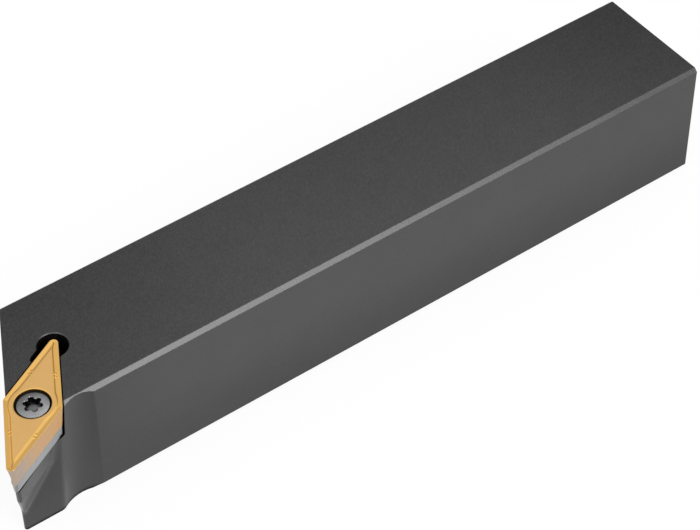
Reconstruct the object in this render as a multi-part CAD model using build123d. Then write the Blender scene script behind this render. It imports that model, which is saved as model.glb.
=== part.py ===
from build123d import *
import math
import os

# Right-hand indexable turning tool holder: a square steel shank whose head carries a 35 degree
# rhombic insert on a hard shim. A hollow shim screw holds the shim, and the insert screw goes
# through the insert into the hollow of the shim screw. All sizes are in millimetres.
#
# Frame: +X runs along the shank towards the cutting tip, +Y towards the side on which the tip
# stands out, +Z up. The origin lies on the base face, half way along the overall length and on
# the middle of the shank's width.

# Shank
shank_width = 25.0
shank_height = 25.0
overall_length = 150.0
tip_offset = 32.0
long_edge_chamfer = 0.75
rear_edge_chamfer = 0.15

# Insert blank
inscribed_circle = 9.525
point_angle = 35.0
lead_angle = 27.5
insert_thickness = 4.76
insert_clearance = 7.0
nose_radius = 0.8
insert_bore = 4.4
countersink_mouth = 6.1
countersink_rim = 0.4
countersink_angle = 60.0

# Chip breaker pressed into the top of the insert
edge_land = 0.12
rake_width = 0.85
rake_depth = 0.22
groove_floor = 0.08
island_corner_radius = 0.35
island_wall_angle = 35.0
hub_diameter = 8.3
ridge_width = 0.5
ridge_tip_width = 0.3
ridge_length_inside = 4.2
ridge_length_outside = 0.6
ridge_height = 0.16

# Shim
shim_thickness = 2.38
shim_side_angle = 5.0
shim_corner_radius = 0.6
shim_far_overhang = 0.3
shim_bottom_chamfer = 0.2
shim_bore_clearance = 0.1

# Shim screw, a hollow sleeve with a flange in the shim
sleeve_flange_diameter = 6.8
sleeve_flange_thickness = 1.1
sleeve_diameter = 5.5
sleeve_length = 8.2
sleeve_socket_width = 4.0
sleeve_socket_depth = 2.0
sleeve_sink = 0.2

# Insert screw
screw_diameter = 3.5
screw_length = 11.0
screw_head_diameter = 5.4
screw_head_rim = 0.85
screw_head_bevel = 0.15
screw_tip_chamfer = 0.4
socket_outer = 3.35
socket_inner = 2.6
socket_lobe_radius = 0.4
socket_depth = 1.5
socket_point_depth = 0.35

# Fits
turned_clearance = 0.02
flange_clearance = 0.1
thread_clearance = 0.02

# Pocket in the head
pocket_gap = 0.2
pocket_wall_angle = 5.0
corner_hole_diameter = 5.4
corner_hole_inset = 3.15
corner_hole_extra_depth = 0.6
corner_hole_edge_break = 0.15
wall_relief_diameter = 2.4
wall_relief_start = 3.5
far_wall_relief_depth = 0.7
far_wall_relief_length = 3.2
rear_wall_relief_depth = 0.3
rear_wall_relief_length = 1.5
tapped_hole_extra_depth = 3.0
drill_point_angle = 118.0
floor_relief_start = 6.0
floor_relief_angle = 2.5

# Outside of the head
head_side_step = 0.4
floor_ledge = 0.06
flank_turn = 1.2
first_flank_height = 3.86
first_flank_angle = 7.0
second_flank_angle = 19.0
flank_blend_radius = 3.0
front_face_angle = 26.5
front_face_recess = 0.45
front_face_lean = 0.8
nose_edge_radius = 0.5
side_groove_radius = 7.0
side_groove_depth = 0.8
side_groove_setback = 4.566
side_groove_lean = 3.9
side_groove_tilt = 1.05
side_groove_lip_radius = 1.8

# Places worked out from the sizes above
half_width = shank_width / 2
half_length = overall_length / 2
half_point = math.radians(point_angle / 2)
incircle_radius = inscribed_circle / 2
clearance_slope = math.tan(math.radians(insert_clearance))
diagonal_angle = lead_angle + point_angle / 2
nose_to_centre = (incircle_radius - nose_radius) / math.sin(half_point)
insert_x = half_length - nose_radius - nose_to_centre * math.cos(math.radians(diagonal_angle))
insert_y = tip_offset - half_width - nose_radius - nose_to_centre * math.sin(math.radians(diagonal_angle))
pocket_depth = insert_thickness + shim_thickness
floor_height = shank_height - pocket_depth
head_side_y = half_width + head_side_step
shim_slope = math.tan(math.radians(shim_side_angle))
shim_edge = incircle_radius - insert_thickness * clearance_slope - shim_thickness * shim_slope

# The insert's frame has its origin on the insert's centre, level with the top of the shank, and
# its X axis along the long diagonal towards the cutting tip.
insert_frame = Location((insert_x, insert_y, shank_height), (0, 0, diagonal_angle))
# The near edge's frame shares that centre, on the base, with X along the near cutting edge.
near_edge_frame = Location((insert_x, insert_y, 0), (0, 0, lead_angle))
# The front face's frame shares it too, with X square to the front face.
front_frame = Location((insert_x, insert_y, 0), (0, 0, -front_face_angle))
# The flanks' frame lies on the base below the shim's nose, with X along the flanks and Y out of them.
flank_nose = Pos(nose_to_centre * math.cos(half_point), shim_edge + floor_ledge, 0)
flank_frame = near_edge_frame * flank_nose * Rot(0, 0, flank_turn)

# The side groove keeps its distance from where the flanks leave the head's near side.
flank_slope = math.tan(math.radians(lead_angle + flank_turn))
flank_start_x = flank_frame.position.X - (flank_frame.position.Y - head_side_y) / flank_slope
groove_x = flank_start_x - side_groove_setback

DOWN = (0, 0, -1)
# Length of a cutting block that only has to go past the part.
reach = overall_length
# Largest distance at which an edge still counts as lying on a face.
touching = 0.001


def rhombus(inscribed_radius, corner_radius):
    """Rhombus with rounded corners, its long diagonal along X."""
    half_long = inscribed_radius / math.sin(half_point)
    half_short = inscribed_radius / math.cos(half_point)
    outline = Polygon((half_long, 0), (0, half_short), (-half_long, 0), (0, -half_short), align=None)
    return fillet(outline.vertices(), corner_radius)


def tapered_rhombus(inscribed_radius, corner_radius, thickness, angle=insert_clearance):
    """Rhombic block that narrows downwards at an angle, its top at zero."""
    return extrude(rhombus(inscribed_radius, corner_radius), thickness, dir=DOWN, taper=angle)


def six_lobe(outer, inner, lobe_radius):
    """Six-lobed socket outline made of tangent arcs."""
    lobe_centre = outer / 2 - lobe_radius
    near, far = lobe_centre, inner / 2
    turn = math.cos(math.radians(30))
    flute_radius = (near**2 + far**2 - 2 * near * far * turn - lobe_radius**2) / (
        2 * (lobe_radius - far + near * turn)
    )
    flute_centre = far + flute_radius
    step = Vector(flute_centre, 0).rotate(Axis.Z, 30) - Vector(lobe_centre, 0)
    tangent = Vector(lobe_centre, 0) + step.normalized() * lobe_radius
    mirrored = Vector(tangent.X, -tangent.Y)
    arcs = []
    for lobe in range(6):
        angle = 60 * lobe
        start = mirrored.rotate(Axis.Z, angle)
        middle = Vector(outer / 2, 0).rotate(Axis.Z, angle)
        end = tangent.rotate(Axis.Z, angle)
        arcs.append(ThreePointArc(start, middle, end))
        flute = Vector(far, 0).rotate(Axis.Z, angle + 30)
        arcs.append(ThreePointArc(end, flute, mirrored.rotate(Axis.Z, angle + 60)))
    return make_face(Wire(arcs))


def shank_core():
    """Square bar over the whole length, its long edges and its rear edges broken."""
    core = Pos(0, 0, shank_height / 2) * Box(overall_length, shank_width, shank_height)
    core = chamfer(core.edges().filter_by(Axis.X), long_edge_chamfer)
    rear_edges = core.faces().sort_by(Axis.X)[0].edges()
    return chamfer(rear_edges, rear_edge_chamfer)


def head_side():
    """Lower part of the head along the near side, sharp-edged and a little proud of the shank."""
    return Pos(groove_x, 0, 0) * Box(
        reach, head_side_y, floor_height, align=(Align.MIN, Align.MIN, Align.MIN)
    )


def seat_wedge():
    """Part of the head that stands out under the near cutting edge, with its two flanks."""
    middle = -first_flank_height * math.tan(math.radians(first_flank_angle))
    middle_height = floor_height - first_flank_height
    bottom = middle - middle_height * math.tan(math.radians(second_flank_angle))
    inside = bottom - half_width / 2
    section = Plane.YZ * Polygon(
        (inside, 0),
        (bottom, 0),
        (middle, middle_height),
        (0, floor_height),
        (inside, floor_height),
        align=None,
    )
    wedge = extrude(section, reach, both=True)
    keep = Pos(groove_x, 0, 0) * Box(
        reach, reach, floor_height, align=(Align.MIN, Align.MIN, Align.MIN)
    )
    return (flank_frame * wedge) & keep


def front_waste():
    """Everything in front of the head's front face."""
    lean = Location((incircle_radius - front_face_recess, 0, shank_height), (0, -front_face_lean, 0))
    block = Box(reach, 2 * reach, 2 * reach, align=(Align.MIN, Align.CENTER, Align.CENTER))
    return front_frame * lean * block


def side_groove():
    """Round groove up the near side, just behind the insert."""
    axis_y = half_width + side_groove_radius - side_groove_depth
    turn = (-side_groove_tilt, -side_groove_lean, 0)
    tilt = Location((groove_x, axis_y, shank_height / 2), turn)
    return tilt * Cylinder(side_groove_radius, reach)


def pocket():
    """Tapered pocket for the insert and the shim, open to the near side and to the front."""
    corner = -(incircle_radius + pocket_gap) / math.sin(half_point)
    block = tapered_rhombus(reach, nose_radius, pocket_depth, pocket_wall_angle)
    return insert_frame * Pos(corner + reach / math.sin(half_point), 0, 0) * block


def corner_relief():
    """Round hole at the pocket's rear corner, and the reliefs beside it in both walls."""
    corner = incircle_radius / math.sin(half_point)
    hole_depth = pocket_depth + corner_hole_extra_depth
    hole = Pos(corner_hole_inset - corner, 0, 0) * Cylinder(
        corner_hole_diameter / 2, hole_depth, align=(Align.CENTER, Align.CENTER, Align.MAX)
    )
    rim = corner_hole_diameter / 2
    hole += Pos(corner_hole_inset - corner, 0, 0) * Cone(
        rim,
        rim + corner_hole_edge_break,
        corner_hole_edge_break,
        align=(Align.CENTER, Align.CENTER, Align.MAX),
    )
    walls = (
        (-1, far_wall_relief_depth, far_wall_relief_length),
        (1, rear_wall_relief_depth, rear_wall_relief_length),
    )
    for side, depth, length in walls:
        slot = SlotCenterToCenter(length, wall_relief_diameter)
        slot_x = wall_relief_start + length / 2 - incircle_radius / math.tan(half_point)
        slot_y = side * (incircle_radius + pocket_gap + depth - wall_relief_diameter / 2)
        outline = Rot(0, 0, side * point_angle / 2) * Pos(slot_x, slot_y, 0) * slot
        hole += extrude(outline, pocket_depth, dir=DOWN)
    return insert_frame * hole


def floor_relief():
    """Shallow ramp that takes the pocket floor down towards the nose, clear of the shim."""
    depth = reach * math.tan(math.radians(floor_relief_angle))
    ramp = Plane.XZ * Polygon((0, 0), (reach, 0), (reach, -depth), align=None)
    return near_edge_frame * Pos(floor_relief_start, 0, floor_height) * extrude(ramp, reach, both=True)


def tapped_hole():
    """Blind hole for the shim screw, with a drill point."""
    radius = sleeve_diameter / 2 + thread_clearance
    depth = sleeve_sink + sleeve_length - shim_thickness + tapped_hole_extra_depth
    point = radius / math.tan(math.radians(drill_point_angle / 2))
    profile = Plane.XZ * Polygon((0, 0), (radius, 0), (radius, -depth), (0, -depth - point), align=None)
    return insert_frame * Pos(0, 0, -pocket_depth) * revolve(profile, Axis.Z)


def on_head_side(edge):
    """Whether both ends of an edge lie on the near side of the head."""
    return all(abs(vertex.Y - head_side_y) < touching for vertex in edge.vertices())


def rises(edge):
    """Whether an edge runs more up than along."""
    tangent = edge.tangent_at(0.5)
    return abs(tangent.Z) > math.hypot(tangent.X, tangent.Y)


def below_floor(edge):
    """Whether an edge lies lower than the pocket floor."""
    return edge.center().Z < floor_height - touching


def flank_edges(body):
    """Inner edges where the two flanks meet the head's near side, which lean more than the flanks do."""
    steepest = math.cos(math.radians(first_flank_angle))
    lines = [edge for edge in body.edges().filter_by(GeomType.LINE) if on_head_side(edge)]
    return [edge for edge in lines if touching < abs(edge.tangent_at(0.5).Z) < steepest]


def nose_edges(body):
    """Upright edges where the front face meets the near side and the flanks."""
    normal = Vector(1, 0, 0).rotate(Axis.Y, -front_face_lean).rotate(Axis.Z, -front_face_angle)
    front = max(body.faces().filter_by(GeomType.PLANE), key=lambda face: face.normal_at().dot(normal))
    return [
        edge
        for edge in front.edges()
        if rises(edge) and below_floor(edge) and edge.center().Y > head_side_y - touching
    ]


def groove_lip_edges(body):
    """Front edges of the side groove, below the pocket."""
    return [
        edge
        for edge in body.edges()
        if on_head_side(edge) and rises(edge) and below_floor(edge) and edge.center().X > groove_x
    ]


def holder_body():
    """Shank and head in one piece of steel."""
    body = shank_core() + head_side() + seat_wedge() - front_waste()
    body = fillet(flank_edges(body), flank_blend_radius)
    body = fillet(nose_edges(body), nose_edge_radius)
    body = body - side_groove()
    body = fillet(groove_lip_edges(body), side_groove_lip_radius)
    return body - pocket() - corner_relief() - floor_relief() - tapped_hole()


def insert_bore_cut():
    """Through bore of the insert, with a countersink that starts below a short straight mouth."""
    mouth = countersink_mouth / 2
    bore = insert_bore / 2
    neck = countersink_rim + (mouth - bore) / math.tan(math.radians(countersink_angle / 2))
    profile = Plane.XZ * Polygon(
        (0, 0),
        (mouth, 0),
        (mouth, -countersink_rim),
        (bore, -neck),
        (bore, -insert_thickness),
        (0, -insert_thickness),
        align=None,
    )
    return revolve(profile, Axis.Z)


def chip_breaker_floor():
    """Space between the cutting edges and the bottom of the chip groove."""
    floor_radius = incircle_radius - edge_land - rake_width
    top = rhombus(incircle_radius - edge_land, nose_radius - edge_land)
    floor = Pos(0, 0, -rake_depth) * rhombus(floor_radius, island_corner_radius)
    return loft([floor, top], ruled=True)


def chip_breaker_island():
    """Raised middle of the insert, round about the bore, with a ridge towards each nose."""
    island_radius = incircle_radius - edge_land - rake_width - groove_floor
    outline = rhombus(island_radius, island_corner_radius)
    island = Pos(0, 0, -rake_depth) * extrude(outline, rake_depth, taper=island_wall_angle)
    hub_radius = hub_diameter / 2
    hub_top_radius = hub_radius - rake_depth * math.tan(math.radians(island_wall_angle))
    island += Cone(hub_radius, hub_top_radius, rake_depth, align=(Align.CENTER, Align.CENTER, Align.MAX))
    tip = island_radius / math.sin(half_point)
    for side in (0, 180):
        blade = Polygon(
            (tip - ridge_length_inside, ridge_width / 2),
            (tip - ridge_length_inside, -ridge_width / 2),
            (tip + ridge_length_outside, -ridge_tip_width / 2),
            (tip + ridge_length_outside, ridge_tip_width / 2),
            align=None,
        )
        island += Rot(0, 0, side) * Pos(0, 0, -rake_depth) * extrude(blade, ridge_height)
    return island


def insert():
    """Rhombic insert with clearance flanks, chip breaker and countersunk bore."""
    blank = tapered_rhombus(incircle_radius, nose_radius, insert_thickness)
    pressed = blank - chip_breaker_floor() + chip_breaker_island()
    return insert_frame * (pressed - insert_bore_cut())


def sleeve_seat_radius():
    """Radius of the recess in the shim that takes the flange of the shim screw."""
    return sleeve_flange_diameter / 2 + flange_clearance


def shim():
    """Hard seat under the insert, flush on its near edges, with a stepped bore for its screw."""
    flush = incircle_radius - insert_thickness * clearance_slope
    spread = shim_far_overhang / 2
    plate = tapered_rhombus(flush + spread, shim_corner_radius, shim_thickness, shim_side_angle)
    plate = chamfer(plate.faces().sort_by(Axis.Z)[0].edges(), shim_bottom_chamfer)
    plate = Pos(0, -spread / math.cos(half_point), 0) * plate
    recess = sleeve_sink + sleeve_flange_thickness
    bore = sleeve_diameter / 2 + shim_bore_clearance
    hole = Cylinder(bore, shim_thickness, align=(Align.CENTER, Align.CENTER, Align.MAX))
    seat = Cylinder(sleeve_seat_radius(), recess, align=(Align.CENTER, Align.CENTER, Align.MAX))
    return insert_frame * Pos(0, 0, -insert_thickness) * (plate - hole - seat)


def shim_screw():
    """Hollow screw that holds the shim: flange, hexagon socket and bore for the insert screw."""
    top = -sleeve_sink
    radius = sleeve_diameter / 2
    flange = sleeve_flange_diameter / 2
    profile = Plane.XZ * Polygon(
        (0, top),
        (flange, top),
        (flange, top - sleeve_flange_thickness),
        (radius, top - sleeve_flange_thickness),
        (radius, top - sleeve_length + screw_tip_chamfer),
        (radius - screw_tip_chamfer, top - sleeve_length),
        (0, top - sleeve_length),
        align=None,
    )
    body = revolve(profile, Axis.Z)
    bore = Cylinder(screw_diameter / 2 + thread_clearance, reach)
    hexagon = RegularPolygon(sleeve_socket_width / 2, 6, major_radius=False)
    socket = Pos(0, 0, top) * extrude(hexagon, sleeve_socket_depth, dir=DOWN)
    return insert_frame * Pos(0, 0, -insert_thickness) * (body - bore - socket)


def insert_screw():
    """Countersunk screw with a six-lobed socket."""
    slope = math.tan(math.radians(countersink_angle / 2))
    head = screw_head_diameter / 2
    radius = screw_diameter / 2
    seat = -countersink_rim - (countersink_mouth / 2 - turned_clearance - head) / slope
    top = seat + screw_head_rim
    neck = seat - (head - radius) / slope
    end = top - screw_length
    profile = Plane.XZ * Polygon(
        (0, top),
        (head - screw_head_bevel, top),
        (head, top - screw_head_bevel),
        (head, seat),
        (radius, neck),
        (radius, end + screw_tip_chamfer),
        (radius - screw_tip_chamfer, end),
        (0, end),
        align=None,
    )
    body = revolve(profile, Axis.Z)
    outline = six_lobe(socket_outer, socket_inner, socket_lobe_radius)
    socket = Pos(0, 0, top) * extrude(outline, socket_depth, dir=DOWN)
    point = Pos(0, 0, top - socket_depth) * Cone(
        0, socket_inner / 2, socket_point_depth, align=(Align.CENTER, Align.CENTER, Align.MAX)
    )
    return insert_frame * (body - socket - point)


def main():
    """Write one STEP file for each piece."""
    os.makedirs("parts", exist_ok=True)
    pieces = {
        "holder_body": holder_body(),
        "shim": shim(),
        "shim_screw": shim_screw(),
        "insert": insert(),
        "insert_screw": insert_screw(),
    }
    for name, piece in pieces.items():
        export_step(piece, f"parts/{name}.step")


main()
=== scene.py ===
import logging
import math
from collections.abc import Mapping
from dataclasses import dataclass
from enum import Enum
from typing import Any

import bmesh
import bpy
import numpy as np
from mathutils import Matrix, Vector


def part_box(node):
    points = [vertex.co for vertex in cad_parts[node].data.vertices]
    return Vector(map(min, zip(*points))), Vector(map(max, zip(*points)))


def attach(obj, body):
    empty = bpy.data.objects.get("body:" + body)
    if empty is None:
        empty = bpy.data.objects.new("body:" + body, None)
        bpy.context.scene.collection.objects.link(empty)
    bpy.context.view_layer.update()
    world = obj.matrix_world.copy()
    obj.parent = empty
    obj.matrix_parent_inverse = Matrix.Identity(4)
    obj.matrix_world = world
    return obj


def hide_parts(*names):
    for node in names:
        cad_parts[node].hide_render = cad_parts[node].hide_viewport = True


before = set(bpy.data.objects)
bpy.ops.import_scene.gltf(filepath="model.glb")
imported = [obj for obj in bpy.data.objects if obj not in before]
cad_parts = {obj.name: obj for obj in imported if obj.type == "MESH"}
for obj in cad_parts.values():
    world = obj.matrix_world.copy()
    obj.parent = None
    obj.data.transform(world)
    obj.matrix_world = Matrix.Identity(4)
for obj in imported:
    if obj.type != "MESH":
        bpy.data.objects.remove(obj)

# A right-hand turning tool holder on a plain pale floor: a blackened square shank whose head
# carries a gold-coated rhombic insert on a carbide seat, held by one screw through both.
# Sizes of pieces and finishes are in millimetres until a mesh or a shader is written. Points that
# are taken from the CAD frame and the sizes of the studio are in metres, as Blender's are, and a
# drift is the change of tone for each metre, which paints light and shade across a surface. A
# span gives the two values between which a mask grows from 0 to 1; a facing span gives them as
# upward parts of the surface's normal.

MM = 0.001
ROOT = "root"

Colour = tuple[float, float, float]
Point = tuple[float, float, float]
Span = tuple[float, float]
Measure = float | np.ndarray

LENGTHWISE: Point = (1.0, 0.0, 0.0)
CROSSWISE: Point = (0.0, 1.0, 0.0)
UPWARD: Point = (0.0, 0.0, 1.0)

OPENNESS_SAMPLES = 8
EDGE_SAMPLES = 6
NOISE_MIDDLE = 0.5

# The Mix node has several sockets of one name, so its colours are told apart by their numbers.
MIX_FIRST = 6
MIX_SECOND = 7
MIX_RESULT = 2

log = logging.getLogger("tool_holder")


class Slot(Enum):
    """Material slots of the record."""

    STEEL = "blackened_steel"
    SEAT = "sintered_carbide"
    SCREW = "screw_steel"
    INSERT = "coated_carbide"


def in_metres(span: Span) -> Span:
    """Span given in millimetres, in metres."""
    return span[0] * MM, span[1] * MM


class Signal:
    """Value in a shader: wraps an output socket, and operators on it add Math nodes."""

    def __init__(self, graph: "Graph", socket: bpy.types.NodeSocket | None) -> None:
        """Wrap one output socket of a graph, or none."""
        self.graph = graph
        self.socket = socket

    def __add__(self, other: "Value") -> "Signal":
        """This value plus another."""
        return self.graph.maths("ADD", self, other)

    def __radd__(self, other: float) -> "Signal":
        """A number plus this value."""
        return self.graph.maths("ADD", other, self)

    def __sub__(self, other: "Value") -> "Signal":
        """This value less another."""
        return self.graph.maths("SUBTRACT", self, other)

    def __rsub__(self, other: float) -> "Signal":
        """A number less this value."""
        return self.graph.maths("SUBTRACT", other, self)

    def __mul__(self, other: "Value") -> "Signal":
        """This value times another."""
        return self.graph.maths("MULTIPLY", self, other)

    def __rmul__(self, other: float) -> "Signal":
        """A number times this value."""
        return self.graph.maths("MULTIPLY", other, self)

    def __abs__(self) -> "Signal":
        """Size of this value without its sign."""
        return self.graph.maths("ABSOLUTE", self)

    def ease(self, start: float, end: float) -> "Signal":
        """Smooth step of this value.

        Args:
            start: Value at which the step is 0.
            end: Value at which the step is 1; it may be lower than start.

        Returns:
            The step, from 0 to 1.
        """
        return self.graph.node(
            "ShaderNodeMapRange",
            {"interpolation_type": "SMOOTHSTEP"},
            {"Value": self, "From Min": start, "From Max": end},
        )


Value = Signal | float


class Graph:
    """Node tree of one material or of the world."""

    def __init__(self, tree: bpy.types.NodeTree) -> None:
        """Start from an empty tree."""
        self.tree = tree
        self.tree.nodes.clear()

    def node(
        self,
        kind: str,
        settings: Mapping[str, Any] | None = None,
        inputs: Mapping[str | int, Any] | None = None,
        output: str | int = 0,
    ) -> Signal:
        """Add a node.

        Args:
            kind: Blender's type of the node.
            settings: Properties of the node, set before its sockets.
            inputs: Values or signals for its input sockets.
            output: Name or index of the output that is wanted.

        Returns:
            That output; an empty signal where the node ends the tree.
        """
        node = self.tree.nodes.new(kind)
        for name, value in (settings or {}).items():
            setattr(node, name, value)
        for key, value in (inputs or {}).items():
            self.feed(node.inputs[key], value)
        return Signal(self, node.outputs[output] if node.outputs else None)

    def feed(self, socket: bpy.types.NodeSocket, value: Any) -> None:
        """Link a signal to an input socket, or write a constant there.

        Args:
            socket: The input socket.
            value: Signal, number, colour or vector.
        """
        if isinstance(value, Signal):
            self.tree.links.new(value.socket, socket)
        elif socket.type == "RGBA":
            socket.default_value = (*value, 1.0)
        else:
            socket.default_value = value

    def maths(self, operation: str, *operands: Value) -> Signal:
        """Add a Math node on one, two or three operands."""
        return self.node("ShaderNodeMath", {"operation": operation}, dict(enumerate(operands)))

    def vector_maths(self, operation: str, *vectors: Any, output: str = "Vector") -> Signal:
        """Add a Vector Math node on one or two vectors."""
        settings = {"operation": operation}
        return self.node("ShaderNodeVectorMath", settings, dict(enumerate(vectors)), output)

    def blend(self, factor: Value, first: Any, second: Any, mode: str = "MIX") -> Signal:
        """Mix two colours.

        Args:
            factor: Share of the second colour.
            first: Colour or signal at factor 0.
            second: Colour or signal at factor 1.
            mode: Blend type.

        Returns:
            The mixed colour.
        """
        settings = {"data_type": "RGBA", "blend_type": mode, "clamp_factor": True}
        inputs = {0: factor, MIX_FIRST: first, MIX_SECOND: second}
        return self.node("ShaderNodeMix", settings, inputs, MIX_RESULT)

    def grey(self, level: Signal) -> Signal:
        """Grey colour of a level."""
        channels = {"Red": level, "Green": level, "Blue": level}
        return self.node("ShaderNodeCombineColor", {}, channels)

    def shaded(self, colour: Any, level: Signal) -> Signal:
        """Colour that is dimmed or lifted by a level."""
        return self.blend(1.0, colour, self.grey(level), "MULTIPLY")

    def place(self) -> Signal:
        """Place on the object, in metres."""
        return self.node("ShaderNodeTexCoord", output="Object")

    def along(self, heading: Point, vector: Signal | None = None) -> Signal:
        """Part of a vector along a heading; of the place on the object if none is given."""
        return self.vector_maths("DOT_PRODUCT", vector or self.place(), heading, output="Value")

    def along_from(self, start: Point, heading: Point) -> Signal:
        """Part along a heading of the way from a start to the place on the object."""
        return self.along(heading) - sum(part * place for part, place in zip(heading, start))

    def ramp(self, heading: Point, span: Span) -> Signal:
        """Smooth step from 0 to 1 over a span in millimetres along a heading."""
        return self.along(heading).ease(*in_metres(span))

    def radius(self, axis: Point) -> Signal:
        """Distance from an upright axis.

        Args:
            axis: Any point of the axis, in metres.

        Returns:
            The distance in metres.
        """
        moved = self.vector_maths("ADD", self.place(), (-axis[0], -axis[1], 0.0))
        flat = self.vector_maths("MULTIPLY", moved, (1.0, 1.0, 0.0))
        return self.vector_maths("LENGTH", flat, output="Value")

    def facing_up(self) -> Signal:
        """Upward part of the surface normal, from -1 to 1."""
        normal = self.node("ShaderNodeNewGeometry", output="Normal")
        return self.node("ShaderNodeSeparateXYZ", {}, {"Vector": normal}, "Z")

    def stretched(self, heading: float, stretch: Point) -> Signal:
        """Place on the object, for a pattern that is drawn out along a heading.

        Args:
            heading: Heading in degrees from the X axis, about the vertical.
            stretch: How many times longer the pattern gets along, across and up.

        Returns:
            The changed place.
        """
        settings = {"vector_type": "TEXTURE"}
        turn = (0.0, 0.0, math.radians(heading))
        inputs = {"Vector": self.place(), "Rotation": turn, "Scale": stretch}
        return self.node("ShaderNodeMapping", settings, inputs)

    def noise(self, grain: float, detail: float = 2.0, place: Signal | None = None) -> Signal:
        """Noise around 0.

        Args:
            grain: Size of its spots in millimetres.
            detail: Number of finer layers.
            place: Coordinates; the place on the object if none are given.

        Returns:
            The noise, at most half above or below 0.
        """
        inputs = {"Vector": place or self.place(), "Scale": 1.0 / (grain * MM), "Detail": detail}
        noise = self.node("ShaderNodeTexNoise", {"noise_dimensions": "3D"}, inputs)
        return noise - NOISE_MIDDLE

    def openness(self, distance: float) -> Signal:
        """Share of the surroundings that lie open.

        Args:
            distance: How far it looks, in millimetres.

        Returns:
            The share, from 0 to 1.
        """
        settings = {"samples": OPENNESS_SAMPLES, "only_local": False}
        inputs = {"Distance": distance * MM}
        return self.node("ShaderNodeAmbientOcclusion", settings, inputs, "AO")

    def relief(self, height: Signal, depth: float, edge_round: float) -> Signal:
        """Bump over edges that are rounded a little.

        Args:
            height: Height signal.
            depth: Height in millimetres that 1 stands for.
            edge_round: Radius in millimetres over which sharp edges turn.

        Returns:
            The bumped normal.
        """
        settings = {"samples": EDGE_SAMPLES}
        rounded = self.node("ShaderNodeBevel", settings, {"Radius": edge_round * MM})
        inputs = {"Height": height, "Distance": depth * MM, "Strength": 1.0, "Normal": rounded}
        return self.node("ShaderNodeBump", {}, inputs)


@dataclass(frozen=True)
class OcclusionShade:
    """Painted shade that dims places whose surroundings close in.

    Attributes:
        reach: How far away the surroundings count.
        span: Open shares at which the dimming is full and gone.
        least: Level that is left where the dimming is full.
    """

    reach: float
    span: Span
    least: float = 0.0

    def level(self, graph: Graph) -> Signal:
        """Level from least, where the place is closed in, to 1 in the open."""
        return self.least + (1.0 - self.least) * graph.openness(self.reach).ease(*self.span)


@dataclass(frozen=True)
class Finish:
    """Surface finish of one slot."""

    name: str
    slot: Slot

    def paint(self, graph: Graph) -> dict[str, Any]:
        """Sockets of the surface shader, by name."""
        raise NotImplementedError

    def material(self) -> bpy.types.Material:
        """Make the finish's material.

        Returns:
            A material with one Principled shader.
        """
        material = bpy.data.materials.new(self.name)
        material.use_nodes = True
        graph = Graph(material.node_tree)
        shader = graph.node("ShaderNodeBsdfPrincipled", {}, self.paint(graph))
        graph.node("ShaderNodeOutputMaterial", {}, {"Surface": shader})
        return material


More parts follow.
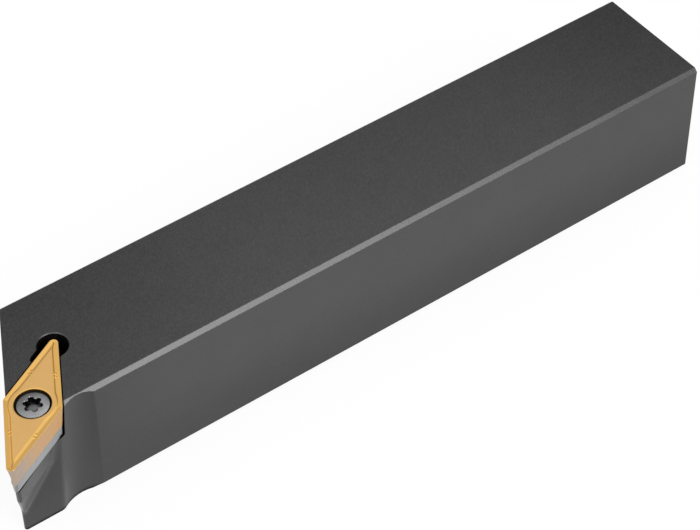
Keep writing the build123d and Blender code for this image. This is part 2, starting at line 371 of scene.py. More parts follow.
@dataclass(frozen=True)
class BlackOxide(Finish):
    """Blackened steel: finely blasted on top, ground smoother on its sides."""

    name: str = "black_oxide"
    slot: Slot = Slot.STEEL
    side: Colour = (0.092, 0.092, 0.093)
    top: Colour = (0.083, 0.083, 0.084)
    # Lighter colour of the flanks under the seat: a painted highlight
    flank: Colour = (0.150, 0.150, 0.151)

    # Which faces are top, upright side or flank under the seat; the flank's lighter colour is a
    # painted highlight
    top_facing: Span = (0.7, 0.95)
    upright_facing: Span = (0.08, 0.03)
    flank_facing: Span = (-0.05, -0.28)
    base_facing: Span = (-0.65, -0.50)
    flank_span: Span = (60.5, 73.5)

    # Painted light and shade: change of tone over the top and down the sides
    top_light_gain: float = 0.11
    top_drift: Point = (1.0, 9.0, 0.0)
    side_drift: Point = (1.3, 0.0, 0.0)
    rear_span: Span = (-80.0, -35.0)
    rear_shade_loss: float = 0.26
    head_span: Span = (10.0, 60.0)
    head_shade_loss: float = 0.31
    foot_span: Span = (17.0, -2.0)
    foot_shade_loss: float = 0.28

    # Grain, clouds and lay of the surface, and painted shade in its recesses and seams
    grain: float = 0.30
    grain_detail: float = 3.0
    grain_heading: float = 60.0
    grain_stretch: Point = (1.8, 1.0, 1.0)
    side_grain: float = 0.32
    top_grain: float = 0.67
    grain_depth: float = 0.012
    cloud: float = 5.0
    cloud_share: float = 0.12
    lay: float = 0.3
    lay_stretch: Point = (16.0, 1.0, 1.0)
    lay_share: float = 0.08
    recess_shade: OcclusionShade = OcclusionShade(reach=2.5, span=(0.15, 0.75), least=0.02)
    seam_shade: OcclusionShade = OcclusionShade(reach=0.8, span=(0.66, 0.96), least=0.05)
    side_roughness: float = 0.38
    top_roughness: float = 0.44
    grain_roughness: float = 0.12
    cloud_roughness: float = 0.06
    edge_round: float = 0.18

    def paint(self, graph: Graph) -> dict[str, Any]:
        """Dark steel with a fine grain, faint clouds, painted shade in its recesses and painted
        light over its top and sides.

        Args:
            graph: Tree of the material.

        Returns:
            Sockets of the surface shader, by name.
        """
        upward = graph.facing_up()
        top = upward.ease(*self.top_facing)
        fine_place = graph.stretched(self.grain_heading, self.grain_stretch)
        grain = graph.noise(self.grain, self.grain_detail, fine_place)
        cloud = graph.noise(self.cloud)
        lay = graph.noise(self.lay, place=graph.stretched(0.0, self.lay_stretch))
        grain_share = self.side_grain + (self.top_grain - self.side_grain) * top
        tone = 1.0 + grain * grain_share + cloud * self.cloud_share + lay * self.lay_share
        # Painted light and shade that changes over the top and the upright sides
        tone = tone + top * self.top_painted_light(graph)
        tone = tone + abs(upward).ease(*self.upright_facing) * self.side_painted_light(graph)
        shade = tone * self.recess_shade.level(graph) * self.seam_shade.level(graph)
        roughness = self.side_roughness + top * (self.top_roughness - self.side_roughness)
        roughness = roughness + grain * self.grain_roughness + cloud * self.cloud_roughness
        return {
            "Base Color": graph.shaded(self.base(graph, upward, top), shade),
            "Metallic": 1.0,
            "Roughness": roughness,
            "Normal": graph.relief(grain, self.grain_depth, self.edge_round),
        }

    def base(self, graph: Graph, upward: Signal, top: Signal) -> Signal:
        """Colour before grain and shade.

        Args:
            graph: Tree of the material.
            upward: Upward part of the normal.
            top: 1 on faces that look up.

        Returns:
            One colour on top, one on the sides and a lighter one on the flanks under the seat, as
            a painted highlight.
        """
        flank = upward.ease(*self.flank_facing) * upward.ease(*self.base_facing)
        flank = flank * graph.ramp(LENGTHWISE, self.flank_span)
        return graph.blend(flank, graph.blend(top, self.side, self.top), self.flank)

    def top_painted_light(self, graph: Graph) -> Signal:
        """Painted light and shade over the top.

        Args:
            graph: Tree of the material.

        Returns:
            A change of painted shade that darkens the top towards both ends and towards the far
            side.
        """
        rear = 1.0 - graph.ramp(LENGTHWISE, self.rear_span)
        head = graph.ramp(LENGTHWISE, self.head_span)
        ends = self.rear_shade_loss * rear + self.head_shade_loss * head
        return graph.along(self.top_drift) + self.top_light_gain - ends

    def side_painted_light(self, graph: Graph) -> Signal:
        """Painted light and shade over the upright sides, which are darker at their foot and
        rear.
        """
        foot = graph.ramp(UPWARD, self.foot_span)
        return graph.along(self.side_drift) - self.foot_shade_loss * foot


@dataclass(frozen=True)
class GoldCoating(Finish):
    """Golden hard coating: pressed and satin on top, ground and paler on the flanks."""

    name: str = "gold_coating"
    slot: Slot = Slot.INSERT
    centre: Point = (0.0, 0.0, 0.0)
    top: Colour = (0.86, 0.52, 0.19)
    slope: Colour = (0.90, 0.53, 0.145)
    # Deep gold on the walls of the chip grooves: painted shade
    groove_shade_colour: Colour = (0.74, 0.35, 0.06)
    flank: Colour = (0.61, 0.335, 0.12)
    flank_nose: Colour = (0.41, 0.31, 0.235)
    slope_facing: Span = (0.995, 0.975)
    wall_facing: Span = (0.955, 0.91)
    side_facing: Span = (0.45, 0.2)
    nose_span: Span = (64.5, 73.5)
    nose_mottle: float = 1.2
    # Painted shade: the countersink of the bore is darkened almost to black
    hub_span: Span = (3.55, 3.70)
    bore_shade_span: Span = (3.17, 3.10)
    bore_shade_loss: float = 0.96
    bright_heading: float = math.radians(117.5)
    bright_span: Span = (3.3, 3.6)
    level: float = 0.96
    cloud: float = 4.5
    cloud_share: float = 0.12
    grain: float = 0.11
    grain_share: float = 0.10
    grain_depth: float = 0.003
    flank_metal: float = 0.25
    top_roughness: float = 0.24
    flank_roughness: float = 0.44
    roughness_share: float = 0.06
    edge_round: float = 0.03

    def paint(self, graph: Graph) -> dict[str, Any]:
        """Gold with painted shade in the chip grooves and the bore, which turns paler and pinker
        on the flanks.

        Args:
            graph: Tree of the material.

        Returns:
            Sockets of the surface shader, by name.
        """
        upward = abs(graph.facing_up())
        side = upward.ease(*self.side_facing)
        cloud = graph.noise(self.cloud)
        grain = graph.noise(self.grain)
        nose = graph.ramp(LENGTHWISE, self.nose_span) + cloud * self.nose_mottle
        flank = graph.blend(nose, self.flank, self.flank_nose)
        base = graph.blend(side, self.upper(graph, upward), flank)
        bore = graph.radius(self.centre).ease(*in_metres(self.bore_shade_span))
        tone = self.level + cloud * self.cloud_share + grain * self.grain_share
        roughness = self.top_roughness + side * (self.flank_roughness - self.top_roughness)
        return {
            "Base Color": graph.shaded(base, tone * (1.0 - self.bore_shade_loss * bore)),
            "Metallic": 1.0 - (1.0 - self.flank_metal) * side,
            "Roughness": roughness + cloud * self.roughness_share,
            "Normal": graph.relief(grain, self.grain_depth, self.edge_round),
        }

    def upper(self, graph: Graph, upward: Signal) -> Signal:
        """Colour of the top, richer on its slopes, with painted shade on the walls of the
        grooves.
        """
        upper = graph.blend(upward.ease(*self.slope_facing), self.top, self.slope)
        return graph.blend(self.groove(graph, upward), upper, self.groove_shade_colour)

    def groove(self, graph: Graph, upward: Signal) -> Signal:
        """Painted shade on the inner walls of the chip grooves, but for the one that faces the
        light.

        Args:
            graph: Tree of the material.
            upward: Upward part of the normal, without its sign.

        Returns:
            1 on those walls, else 0.
        """
        wall = upward.ease(*self.wall_facing)
        outside_hub = graph.radius(self.centre).ease(*in_metres(self.hub_span))
        heading = (math.cos(self.bright_heading), math.sin(self.bright_heading), 0.0)
        bright = graph.along_from(self.centre, heading).ease(*in_metres(self.bright_span))
        return wall * outside_hub * (1.0 - bright)


@dataclass(frozen=True)
class GroundCarbide(Finish):
    """Bare sintered carbide with a fine ground lay."""

    name: str = "ground_carbide"
    slot: Slot = Slot.SEAT
    carbide: Colour = (0.46, 0.465, 0.475)
    level: float = 0.95
    lay: float = 0.16
    lay_stretch: Point = (1.0, 1.0, 12.0)
    lay_share: float = 0.16
    lay_depth: float = 0.002
    cloud: float = 1.8
    cloud_share: float = 0.12
    roughness: float = 0.38
    roughness_share: float = 0.1
    edge_round: float = 0.05

    def paint(self, graph: Graph) -> dict[str, Any]:
        """Cool grey with upright ground lines and a slight mottle.

        Args:
            graph: Tree of the material.

        Returns:
            Sockets of the surface shader, by name.
        """
        lay = graph.noise(self.lay, place=graph.stretched(0.0, self.lay_stretch))
        cloud = graph.noise(self.cloud)
        shade = self.level + lay * self.lay_share + cloud * self.cloud_share
        return {
            "Base Color": graph.shaded(self.carbide, shade),
            "Metallic": 1.0,
            "Roughness": self.roughness + lay * self.roughness_share,
            "Normal": graph.relief(lay, self.lay_depth, self.edge_round),
        }


@dataclass(frozen=True)
class TurnedSteel(Finish):
    """Hardened screw steel with faint turned rings about its axis, and painted shade in its
    socket.
    """

    name: str = "turned_steel"
    slot: Slot = Slot.SCREW
    top: Point = (0.0, 0.0, 0.0)
    steel: Colour = (0.30, 0.302, 0.31)
    level: float = 0.95
    # Painted light: the head grows lighter towards one side
    light_drift: Point = (-55.0, 125.0, 0.0)
    ring_pitch: float = 0.16
    ring_share: float = 0.03
    ring_depth: float = 0.25
    grain: float = 0.12
    grain_share: float = 0.35
    grain_depth: float = 0.003
    cloud: float = 0.7
    cloud_share: float = 0.45
    # Painted shade in the socket: a darker floor and nearly black walls
    socket_span: Span = (1.70, 1.666)
    floor_span: Span = (0.2, 0.4)
    floor_loss: float = 0.4
    wall_facing: Span = (0.88, 0.5)
    wall_loss: float = 0.9
    crevice_shade: OcclusionShade = OcclusionShade(reach=0.5, span=(0.1, 0.8))
    floor_crevice_share: float = 0.5
    roughness: float = 0.32
    roughness_share: float = 0.12
    edge_round: float = 0.03

    def paint(self, graph: Graph) -> dict[str, Any]:
        """Mid grey with rings about the axis, a fine mottle, painted light across the head and
        painted shade in its socket.

        Args:
            graph: Tree of the material.

        Returns:
            Sockets of the surface shader, by name.
        """
        radius = graph.radius(self.top)
        rings = graph.maths("SINE", radius * (2.0 * math.pi / (self.ring_pitch * MM)))
        grain = graph.noise(self.grain)
        cloud = graph.noise(self.cloud)
        tone = self.level + graph.along_from(self.top, self.light_drift) + rings * self.ring_share
        tone = tone + grain * self.grain_share + cloud * self.cloud_share
        height = rings * self.ring_depth + grain
        return {
            "Base Color": graph.shaded(self.steel, tone * self.shadow(graph, radius)),
            "Metallic": 1.0,
            "Roughness": self.roughness + cloud * self.roughness_share,
            "Normal": graph.relief(height, self.grain_depth, self.edge_round),
        }

    def shadow(self, graph: Graph, radius: Signal) -> Signal:
        """Painted shade in crevices, on the socket's floor and, most of all, on its walls.

        Args:
            graph: Tree of the material.
            radius: Distance from the screw's axis.

        Returns:
            Level from 0 to 1.
        """
        inside = radius.ease(*in_metres(self.socket_span))
        depth = self.top[2] - graph.along(UPWARD)
        floor = inside * depth.ease(*in_metres(self.floor_span))
        wall = inside * abs(graph.facing_up()).ease(*self.wall_facing)
        closed = (1.0 - self.crevice_shade.level(graph)) * (1.0 - self.floor_crevice_share * floor)
        shadow = (1.0 - closed) * (1.0 - self.floor_loss * floor)
        return shadow * (1.0 - self.wall_loss * wall)


class RingMesh:
    """Mesh of rings about an axis: the points of each ring join the next ring's by quads."""

    def __init__(self, angles: np.ndarray) -> None:
        """Start with no rings, for points in the given directions from the axis."""
        self.angles = angles
        self.rings: list[np.ndarray] = []

    def flat(self, radius: Measure) -> tuple[np.ndarray, np.ndarray]:
        """X and Y of a ring's points, from one radius or one for each direction."""
        return radius * np.cos(self.angles), radius * np.sin(self.angles)

    def add(self, radius: Measure, height: Measure) -> None:
        """Add a ring of one radius and height, or of one for each direction."""
        x, y = self.flat(radius)
        self.rings.append(np.column_stack([x, y, np.broadcast_to(height, x.shape)]))

    def build(self, name: str, matrix: Matrix, tube: bool) -> bpy.types.Object:
        """Write the mesh.

        Args:
            name: Name of the object.
            matrix: Turn and place of the piece in the row frame, in metres.
            tube: True to join the last ring to the first; False to cap both ends.

        Returns:
            The new object.
        """
        mesh = bpy.data.meshes.new(name)
        mesh.from_pydata((np.concatenate(self.rings) * MM).tolist(), [], self.faces(tube))
        mesh.transform(matrix)
        mesh.update()
        piece = bpy.data.objects.new(name, mesh)
        bpy.context.scene.collection.objects.link(piece)
        return piece

    def faces(self, tube: bool) -> list[tuple[int, ...]]:
        """Faces between successive rings, and the caps.

        Args:
            tube: True to join the last ring to the first; False to cap both ends.

        Returns:
            Each face as the numbers of its points.
        """
        count, total = len(self.angles), len(self.rings)
        faces: list[tuple[int, ...]] = []
        for row in range(total if tube else total - 1):
            here, there = row * count, ((row + 1) % total) * count
            for column in range(count):
                after = (column + 1) % count
                faces.append((here + column, here + after, there + after, there + column))
        if not tube:
            last = (total - 1) * count
            faces.append(tuple(reversed(range(count))))
            faces.append(tuple(range(last, last + count)))
        return faces


def smooth_by_angle(piece: bpy.types.Object, limit: float) -> None:
    """Shade a mesh smooth, but for edges that turn by more than a limit.

    Args:
        piece: Mesh object.
        limit: Largest turn in degrees that stays smooth.
    """
    mesh = bmesh.new()
    mesh.from_mesh(piece.data)
    bmesh.ops.recalc_face_normals(mesh, faces=mesh.faces)
    sharp = math.radians(limit)
    for face in mesh.faces:
        face.smooth = True
    for edge in mesh.edges:
        edge.smooth = len(edge.link_faces) == 2 and edge.calc_face_angle() < sharp
    mesh.to_mesh(piece.data)
    mesh.free()


def smooth_highest(first: np.ndarray, second: Measure, blend: float) -> np.ndarray:
    """Higher of two values, with their crossing rounded over a blend width."""
    share = np.clip(0.5 + 0.5 * (first - second) / blend, 0.0, 1.0)
    return second + (first - second) * share + blend * share * (1.0 - share)


def smooth_lowest(first: np.ndarray, second: float, blend: float) -> np.ndarray:
    """Lower of two values, with their crossing rounded over a blend width."""
    return -smooth_highest(-first, -second, blend)


def top_centre(node: str) -> Vector:
    """Centre of a CAD node's box, at the height of its top."""
    low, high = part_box(node)
    return Vector(((low.x + high.x) / 2, (low.y + high.y) / 2, high.z))


def dress(piece: bpy.types.Object, material: bpy.types.Material) -> None:
    """Give every face of a piece one material."""
    piece.data.materials.clear()
    piece.data.materials.append(material)


def stand_in(piece: bpy.types.Object, node: str, finish: Finish) -> None:
    """Let a finished piece take the place of a CAD node.

    Args:
        piece: The detailed piece, already in place.
        node: Name of the CAD node that it replaces.
        finish: Its surface finish.
    """
    dress(piece, finish.material())
    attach(piece, ROOT)
    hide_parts(node)
    log.info("%s stands for %s with %d faces", piece.name, node, len(piece.data.polygons))


@dataclass
class CuttingInsert:
    """Rhombic insert with honed edges, a moulded chip breaker and a countersunk bore."""

    node: str = "insert"

    # Outline, flanks and edges
    diagonal: float = math.radians(45.0)
    incircle: float = 4.7625
    half_point: float = math.radians(17.5)
    thickness: float = 4.76
    clearance: float = math.radians(7.0)
    nose: float = 0.8
    least_corner: float = 0.02
    hone: float = 0.035
    hone_steps: tuple[float, ...] = (0.0, 0.35, 0.7)
    base_break: float = 0.03

    # Chip breaker: land, sloping rake, groove and the wall of the island
    land: float = 0.12
    land_blend: float = 0.02
    rake_width: float = 0.60
    rake_depth: float = 0.15
    rake_blend: float = 0.03
    groove: float = 0.16
    wall_angle: float = math.radians(63.0)
    foot_blend: float = 0.05
    brow_blend: float = 0.06
    hub: float = 4.15
    hub_blend: float = 0.3

    # Countersunk bore with its rounded lip
    mouth: float = 3.05
    lip: float = 0.36
    lip_depth: float = 0.2
    rim: float = 0.4
    bore: float = 2.2
    cone_angle: float = math.radians(30.0)

    # Ridges towards the noses, and pairs of nubs in the groove
    ridge_half_width: float = 0.25
    ridge_tip_share: float = 0.45
    ridge_height: float = 0.16
    ridge_start: float = 4.2
    ridge_end: float = 0.6
    ridge_fall: float = 0.35
    nub_places: tuple[float, ...] = (9.25, 9.95)
    nub_reach: float = 0.42
    nub_length: float = 0.20
    nub_height: float = 0.13
    nub_fullness: float = 1.2
    crown_blend: float = 0.04
    far_below: float = -1.0

    # Spokes and rings of the mesh
    spokes: int = 960
    outline_samples: int = 40001
    nose_length: float = 3.2
    nose_density: float = 2.5
    rake_rings: int = 44
    rake_crowding: float = 0.8
    past_foot: float = 0.4
    lip_margin: float = 0.15
    lip_spread: float = 0.75
    middle_rings: int = 14
    lip_rings: int = 8
    smooth_limit: float = 45.0

    @property
    def foot(self) -> float:
        """Distance from the cutting edge to the foot of the island."""
        return self.land + self.rake_width + self.groove

    @property
    def across(self) -> float:
        """Part of an edge's normal along the long diagonal."""
        return math.sin(self.half_point)

    @property
    def along(self) -> float:
        """Part of an edge's normal along the short diagonal."""
        return math.cos(self.half_point)

    def outline(self, angles: np.ndarray, inset: float) -> np.ndarray:
        """Distance from the centre to the rounded rhombus.

        Args:
            angles: Directions from the centre in radians.
            inset: How far the outline lies inside the full one.

        Returns:
            One distance for each direction.
        """
        across, along = self.across, self.along
        inscribed = self.incircle - inset
        corner = max(self.nose - inset, self.least_corner)
        x, y = np.abs(np.cos(angles)), np.abs(np.sin(angles))
        edge = inscribed / (x * across + y * along)
        nose_x = (inscribed - corner) / across
        side_y = (inscribed - corner) / along
        on_nose = (edge * x - nose_x) * along - edge * y * across > 0.0
        on_side = (edge * y - side_y) * across - edge * x * along > 0.0
        nose_arc = nose_x * x + np.sqrt(np.maximum(corner**2 - (nose_x * y) ** 2, 0.0))
        side_arc = side_y * y + np.sqrt(np.maximum(corner**2 - (side_y * x) ** 2, 0.0))
        return np.where(on_nose, nose_arc, np.where(on_side, side_arc, edge))

    def spoke_angles(self) -> np.ndarray:
        """Directions that divide the outline evenly, with more of them round the noses.

        Returns:
            Directions from the centre in radians.
        """
        fine = np.linspace(0.0, 2.0 * math.pi, self.outline_samples)
        radius = self.outline(fine, 0.0)
        steps = np.hypot(np.diff(radius * np.cos(fine)), np.diff(radius * np.sin(fine)))
        near_nose = radius[1:] > self.incircle / self.across - self.nose_length
        weight = np.where(near_nose, self.nose_density, 1.0)
        length = np.concatenate([[0.0], np.cumsum(steps * weight)])
        wanted = np.linspace(0.0, length[-1], self.spokes, endpoint=False)
        return np.interp(wanted, length, fine)

    def edge_distance(self, x: np.ndarray, y: np.ndarray) -> np.ndarray:
        """Distance from points of the top to the nearest cutting edge.

        Args:
            x: Places along the long diagonal.
            y: Places along the short diagonal.

        Returns:
            One distance for each point.
        """
        ax, ay = np.abs(x), np.abs(y)
        straight = self.incircle - (ax * self.across + ay * self.along)
        nose_x = (self.incircle - self.nose) / self.across
        beyond = (ax - nose_x) * self.along - ay * self.across > 0.0
        return np.where(beyond, self.nose - np.hypot(ax - nose_x, ay), straight)

    def island(self, x: np.ndarray, y: np.ndarray, distance: np.ndarray) -> np.ndarray:
        """Height of the raised middle: a smaller rhombus that swells into the hub.

        Args:
            x: Places along the long diagonal.
            y: Places along the short diagonal.
            distance: Distance of each place from the cutting edge.

        Returns:
            One height for each place.
        """
        hub = self.hub - np.hypot(x, y)
        inside = smooth_highest(distance - self.foot, hub, self.hub_blend)
        wall = inside / math.tan(self.wall_angle) - self.rake_depth
        return smooth_lowest(wall, 0.0, self.brow_blend)

    def ridge(self, x: np.ndarray, y: np.ndarray) -> np.ndarray:
        """Height of the narrow ridge that runs from the island towards each nose.

        Args:
            x: Places along the long diagonal.
            y: Places along the short diagonal.

        Returns:
            One height for each place, far below the top where there is no ridge.
        """
        tip = (self.incircle - self.foot) / self.across
        left = tip + self.ridge_end - np.abs(x)
        share = np.clip(left / (self.ridge_start + self.ridge_end), 0.0, 1.0)
        taper = self.ridge_tip_share + (1.0 - self.ridge_tip_share) * share
        crown = np.clip(1.0 - (y / (self.ridge_half_width * taper)) ** 2, -1.0, 1.0)
        end = np.clip(left / self.ridge_fall, 0.0, 1.0)
        height = self.ridge_height * crown * np.sqrt(end) - self.rake_depth
        return np.where(np.abs(x) > tip - self.ridge_start, height, self.far_below)

    def nubs(self, x: np.ndarray, y: np.ndarray, distance: np.ndarray) -> np.ndarray:
        """Height of the paired nubs that stand in the groove along every edge.

        Args:
            x: Places along the long diagonal.
            y: Places along the short diagonal.
            distance: Distance of each place from the cutting edge.

        Returns:
            One height for each place, far below the top away from the nubs.
        """
        corner = self.incircle / math.tan(self.half_point)
        run = corner - (np.abs(x) * self.along - np.abs(y) * self.across)
        inward = ((distance - self.foot) / self.nub_reach) ** 2
        height = np.full(x.shape, self.far_below)
        for place in self.nub_places:
            spread = inward + ((run - place) / self.nub_length) ** 2
            dome = np.minimum(self.nub_fullness * (1.0 - spread), 1.0)
            height = np.maximum(height, self.nub_height * dome - self.rake_depth)
        return height

    def top(self, x: np.ndarray, y: np.ndarray) -> np.ndarray:
        """Height of the top face relative to the cutting edge.

        Args:
            x: Places along the long diagonal.
            y: Places along the short diagonal.

        Returns:
            One height for each place.
        """
        distance = self.edge_distance(x, y)
        slope = (distance - self.land) * self.rake_depth / self.rake_width
        rake = smooth_highest(slope, 0.0, self.land_blend)
        height = -smooth_lowest(rake, self.rake_depth, self.rake_blend)
        height = smooth_highest(height, self.island(x, y, distance), self.foot_blend)
        height = smooth_highest(height, self.ridge(x, y), self.crown_blend)
        height = smooth_highest(height, self.nubs(x, y, distance), self.crown_blend)
        return np.minimum(height, 0.0)

    def add_top(self, rings: RingMesh) -> None:
        """Add rings from the cutting edge inwards to the lip of the bore.

        Args:
            rings: The mesh that grows.
        """
        inner = self.mouth + self.lip
        last = self.foot + self.past_foot
        for share in np.linspace(0.0, 1.0, self.rake_rings):
            inset = self.hone + (last - self.hone) * share**self.rake_crowding
            least = inner + self.lip_margin + self.lip_spread * (1.0 - share)
            radius = np.maximum(self.outline(rings.angles, inset), least)
            rings.add(radius, self.top(*rings.flat(radius)))
        for share in np.linspace(0.0, 1.0, self.middle_rings)[1:]:
            nearer = radius + (inner - radius) * share
            rings.add(nearer, self.top(*rings.flat(nearer)))

    def add_bore(self, rings: RingMesh) -> None:
        """Add rings over the rounded lip, down the countersink and through the bore.

        Args:
            rings: The mesh that grows.
        """
        for turn in np.linspace(0.0, math.pi / 2.0, self.lip_rings)[1:]:
            radius = self.mouth + self.lip * (1.0 - math.sin(turn))
            rings.add(radius, -self.lip_depth * (1.0 - math.cos(turn)))
        neck = self.rim + (self.mouth - self.bore) / math.tan(self.cone_angle)
        rings.add(self.mouth, -self.rim)
        rings.add(self.bore, -neck)
        rings.add(self.bore, -self.thickness)

    def add_flanks(self, rings: RingMesh) -> None:
        """Add rings under the base, up the flanks and round the honed edge.

        Args:
            rings: The mesh that grows.
        """
        slope = math.tan(self.clearance)
        inset = self.thickness * slope + self.base_break
        rings.add(self.outline(rings.angles, inset), -self.thickness)
        low = self.thickness - self.base_break
        for depth in (low, low - 2.0 * self.base_break, 3.0 * self.hone):
            rings.add(self.outline(rings.angles, depth * slope), -depth)
        for step in self.hone_steps:
            turn = step * math.pi / 2.0
            inset = self.hone * (1.0 - math.cos(turn)) + self.hone * slope * (1.0 - step)
            rings.add(self.outline(rings.angles, inset), -self.hone * (1.0 - math.sin(turn)))

    def make(self) -> None:
        """Build the insert where the CAD insert lies, and dress it."""
        rings = RingMesh(self.spoke_angles())
        self.add_top(rings)
        self.add_bore(rings)
        self.add_flanks(rings)
        centre = top_centre(self.node)
        matrix = Matrix.Translation(centre) @ Matrix.Rotation(self.diagonal, 4, "Z")
        piece = rings.build("pressed_insert", matrix, tube=True)
        smooth_by_angle(piece, self.smooth_limit)
        stand_in(piece, self.node, GoldCoating(centre=tuple(centre)))


@dataclass
class ClampScrew:
    """Countersunk screw with a crowned head, a six-lobed socket and a plain shank."""

    node: str = "insert_screw"

    # Head and shank
    turn: float = math.radians(15.0)
    head: float = 2.75
    head_rim: float = 0.8
    bevel: float = 0.08
    bevel_knee: tuple[float, float] = (0.3, 0.35)
    crown: float = 0.2
    crown_power: float = 1.5
    crown_steps: tuple[float, ...] = (0.35, 0.7, 1.0)
    shank: float = 1.75
    length: float = 11.0
    tip: float = 0.4
    cone_angle: float = math.radians(30.0)

    # Socket, and the point below its floor
    lobes: int = 6
    socket_outer: float = 1.65
    socket_inner: float = 1.18
    lobe: float = 0.45
    socket_depth: float = 1.5
    socket_chamfer: float = 0.09
    shoulder_width: float = 0.03
    point_depth: float = 0.35
    point_rings: tuple[tuple[float, float], ...] = ((0.5, 0.55), (0.97, 0.0))
    point_end: float = 0.02

    # Mesh
    spokes: int = 288
    smooth_limit: float = 32.0

    def socket(self, angles: np.ndarray, spread: float) -> np.ndarray:
        """Distance from the axis to the lobed outline, made of tangent arcs.

        Args:
            angles: Directions from the axis in radians.
            spread: How far outside the outline.

        Returns:
            One distance for each direction.
        """
        half_pitch = math.pi / self.lobes
        folded = np.abs((angles + half_pitch) % (2.0 * half_pitch) - half_pitch)
        centre = self.socket_outer - self.lobe
        turn = math.cos(half_pitch)
        gap = centre**2 + self.socket_inner**2 - 2.0 * centre * self.socket_inner * turn
        flute = (gap - self.lobe**2) / (2.0 * (self.lobe - self.socket_inner + centre * turn))
        inside = (self.lobe + spread) ** 2 - (centre * np.sin(folded)) ** 2
        lobe_arc = centre * np.cos(folded) + np.sqrt(np.maximum(inside, 0.0))
        far = self.socket_inner + flute
        beside = half_pitch - folded
        ring = np.maximum((flute - spread) ** 2 - (far * np.sin(beside)) ** 2, 0.0)
        flute_arc = far * np.cos(beside) - np.sqrt(ring)
        return np.where(inside > 0.0, np.maximum(lobe_arc, flute_arc), flute_arc)

    def add_socket(self, rings: RingMesh) -> None:
        """Add rings from the point below the socket up to the top of the head.

        Args:
            rings: The mesh that grows.
        """
        wall = self.socket(rings.angles, 0.0)
        rings.add(self.point_end, -self.socket_depth - self.point_depth)
        for radius_share, depth_share in self.point_rings:
            depth = self.socket_depth + depth_share * self.point_depth
            rings.add(radius_share * self.socket_inner, -depth)
        rings.add(wall, -self.socket_depth)
        rings.add(wall, -self.socket_chamfer)
        rings.add(self.socket(rings.angles, self.socket_chamfer), 0.0)

    def add_head(self, rings: RingMesh) -> None:
        """Add rings over the crowned head and down its countersink.

        Args:
            rings: The mesh that grows.
        """
        shoulder = self.socket_outer + self.socket_chamfer + self.shoulder_width
        rings.add(shoulder, 0.0)
        rim = self.head - self.bevel
        for share in self.crown_steps:
            drop = self.crown * share**self.crown_power
            rings.add(shoulder + (rim - shoulder) * share, -drop)
        out, down = self.bevel_knee
        rings.add(self.head - out * self.bevel, -self.crown - down * self.bevel)
        rings.add(self.head, -self.crown - self.bevel)
        rings.add(self.head, -self.head_rim)

    def add_shank(self, rings: RingMesh) -> None:
        """Add rings from the neck down to the chamfered end.

        Args:
            rings: The mesh that grows.
        """
        neck = self.head_rim + (self.head - self.shank) / math.tan(self.cone_angle)
        rings.add(self.shank, -neck)
        rings.add(self.shank, self.tip - self.length)
        rings.add(self.shank - self.tip, -self.length)

    def make(self) -> None:
        """Build the screw on the axis of the CAD screw, and dress it."""
        rings = RingMesh(np.linspace(0.0, 2.0 * math.pi, self.spokes, endpoint=False))
        self.add_socket(rings)
        self.add_head(rings)
        self.add_shank(rings)
        centre = top_centre(self.node)
        matrix = Matrix.Translation(centre) @ Matrix.Rotation(self.turn, 4, "Z")
        piece = rings.build("clamp_screw", matrix, tube=False)
        smooth_by_angle(piece, self.smooth_limit)
        stand_in(piece, self.node, TurnedSteel(top=tuple(centre)))


@dataclass
class HolderBody:
    """Shank and head, and the seat with its screw, as the CAD gives them."""

    body_node: str = "holder_body"
    seat_node: str = "shim"
    seat_screw_node: str = "shim_screw"

    def make(self) -> None:
        """Dress the CAD pieces that keep their own shape."""
        top = tuple(top_centre(self.seat_screw_node))
        finishes = {
            self.body_node: BlackOxide(),
            self.seat_node: GroundCarbide(),
            self.seat_screw_node: TurnedSteel(name="seat_screw_steel", top=top),
        }
        for node, finish in finishes.items():
            dress(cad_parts[node], finish.material())
            log.info("%s dressed as %s", node, finish.name)


@dataclass(frozen=True)
class Softbox:
    """Large soft lamp that looks at the tool."""

    name: str
    place: Point
    size: tuple[float, float]
    radiance: float
    target: Point = (0.0, 0.0, 0.012)

    def make(self) -> None:
        """Hang the lamp and point it at its target."""
        lamp = bpy.data.lights.new(self.name, "AREA")
        lamp.shape = "RECTANGLE"
        lamp.size, lamp.size_y = self.size
        lamp.energy = self.radiance * math.pi * self.size[0] * self.size[1]
        holder = bpy.data.objects.new(self.name, lamp)
        holder.location = self.place
        look = Vector(self.target) - Vector(self.place)
        holder.rotation_euler = look.to_track_quat("-Z", "Y").to_euler()
        bpy.context.scene.collection.objects.link(holder)


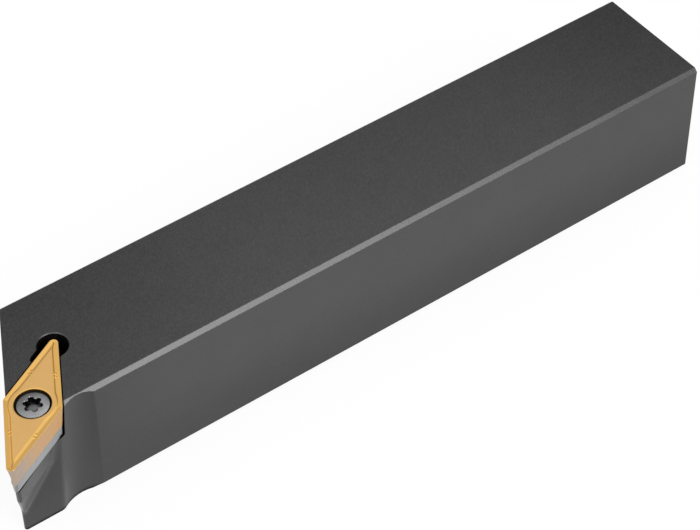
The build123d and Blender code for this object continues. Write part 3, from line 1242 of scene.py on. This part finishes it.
@dataclass
class Studio:
    """Pale floor, soft light and the camera."""

    floor_size: float = 6.0
    floor_drop: float = 0.02 * MM
    floor_colour: Colour = (0.95, 0.95, 0.95)
    floor_white: float = 0.9
    # Painted shade in reflections: mirrors see the floor's white dimmed in front of the head
    floor_dimming: float = 0.5
    dim_length: Span = (0.030, 0.075)
    dim_width: Span = (0.014, 0.024)
    sky_level: float = 0.397
    sky_slope: Point = (0.23, 0.0, 0.634)
    camera_place: Point = (0.154806, 0.230828, 0.302763)
    camera_turn: Point = (43.3684, 0.9200, 144.4256)
    camera_clip: tuple[float, float] = (0.01, 20.0)
    focal_length: float = 115.384
    sensor_width: float = 36.0
    softboxes: tuple[Softbox, ...] = (
        Softbox("near_softbox", place=(-0.16, 0.76, 0.60), size=(0.62, 0.50), radiance=5.0),
        Softbox("far_softbox", place=(-0.607, -0.074, 1.015), size=(0.64, 0.64), radiance=0.25),
        Softbox("front_softbox", place=(0.77, 0.37, 0.63), size=(0.55, 0.55), radiance=1.7),
    )

    def seen(self, graph: Graph) -> Signal:
        """Rays that see the floor as white.

        Args:
            graph: Tree of the floor's material.

        Returns:
            1 where a ray comes from the camera or off a mirror-like surface, else 0.
        """
        rays = [
            graph.node("ShaderNodeLightPath", output=name)
            for name in ("Is Camera Ray", "Is Glossy Ray", "Is Transmission Ray")
        ]
        return graph.maths("MAXIMUM", rays[0], graph.maths("MAXIMUM", rays[1], rays[2]))

    def white_level(self, graph: Graph) -> Signal:
        """Brightness of the white, dimmed in front of the head as painted shade that mirrors see.

        Args:
            graph: Tree of the floor's material.

        Returns:
            1 for the camera, and less in front of the head for any other ray.
        """
        ahead = graph.along(LENGTHWISE).ease(*self.dim_length)
        in_front = ahead * graph.along(CROSSWISE).ease(*self.dim_width)
        reflected = 1.0 - graph.node("ShaderNodeLightPath", output="Is Camera Ray")
        return 1.0 - self.floor_dimming * (in_front * reflected)

    def floor_material(self) -> bpy.types.Material:
        """Make the floor's material.

        Returns:
            A matt pale material that is white for rays that look straight at it.
        """
        material = bpy.data.materials.new("pale_floor")
        material.use_nodes = True
        graph = Graph(material.node_tree)
        matt = graph.node("ShaderNodeBsdfDiffuse", {}, {"Color": self.floor_colour})
        glow = graph.grey(self.white_level(graph))
        white = graph.node("ShaderNodeEmission", {}, {"Color": glow})
        share = self.seen(graph) * self.floor_white
        mixed = graph.node("ShaderNodeMixShader", {}, {0: share, 1: matt, 2: white})
        graph.node("ShaderNodeOutputMaterial", {}, {"Surface": mixed})
        return material

    def make_floor(self) -> None:
        """Lay a pale floor that looks white and keeps a soft shadow."""
        level = (0.0, 0.0, -self.floor_drop)
        bpy.ops.mesh.primitive_plane_add(size=self.floor_size, location=level)
        floor = bpy.context.active_object
        floor.name = "floor"
        dress(floor, self.floor_material())

    def make_sky(self) -> None:
        """Surround the tool with light that grows upwards and towards the tip."""
        world = bpy.data.worlds.new("studio")
        world.use_nodes = True
        bpy.context.scene.world = world
        graph = Graph(world.node_tree)
        direction = graph.node("ShaderNodeTexCoord", output="Generated")
        level = self.sky_level + graph.along(self.sky_slope, direction)
        sky = graph.node("ShaderNodeBackground", {}, {"Color": graph.grey(level)})
        graph.node("ShaderNodeOutputWorld", {}, {"Surface": sky})

    def make_camera(self) -> None:
        """Set the camera where the photograph was taken from."""
        lens = bpy.data.cameras.new("camera")
        lens.lens = self.focal_length
        lens.sensor_width = self.sensor_width
        lens.clip_start, lens.clip_end = self.camera_clip
        camera = bpy.data.objects.new("camera", lens)
        camera.location = self.camera_place
        camera.rotation_euler = [math.radians(angle) for angle in self.camera_turn]
        bpy.context.scene.collection.objects.link(camera)
        bpy.context.scene.camera = camera

    def make(self) -> None:
        """Set up the whole studio."""
        self.make_floor()
        self.make_sky()
        self.make_camera()
        for softbox in self.softboxes:
            softbox.make()
        bpy.context.scene.view_settings.view_transform = "Standard"
        log.info("studio with %d lamps", len(self.softboxes))


def main() -> None:
    """Build the looks round the CAD frame."""
    logging.basicConfig(level=logging.INFO, format="%(name)s: %(message)s")
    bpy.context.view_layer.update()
    HolderBody().make()
    CuttingInsert().make()
    ClampScrew().make()
    Studio().make()


if __name__ == "__main__":
    main()
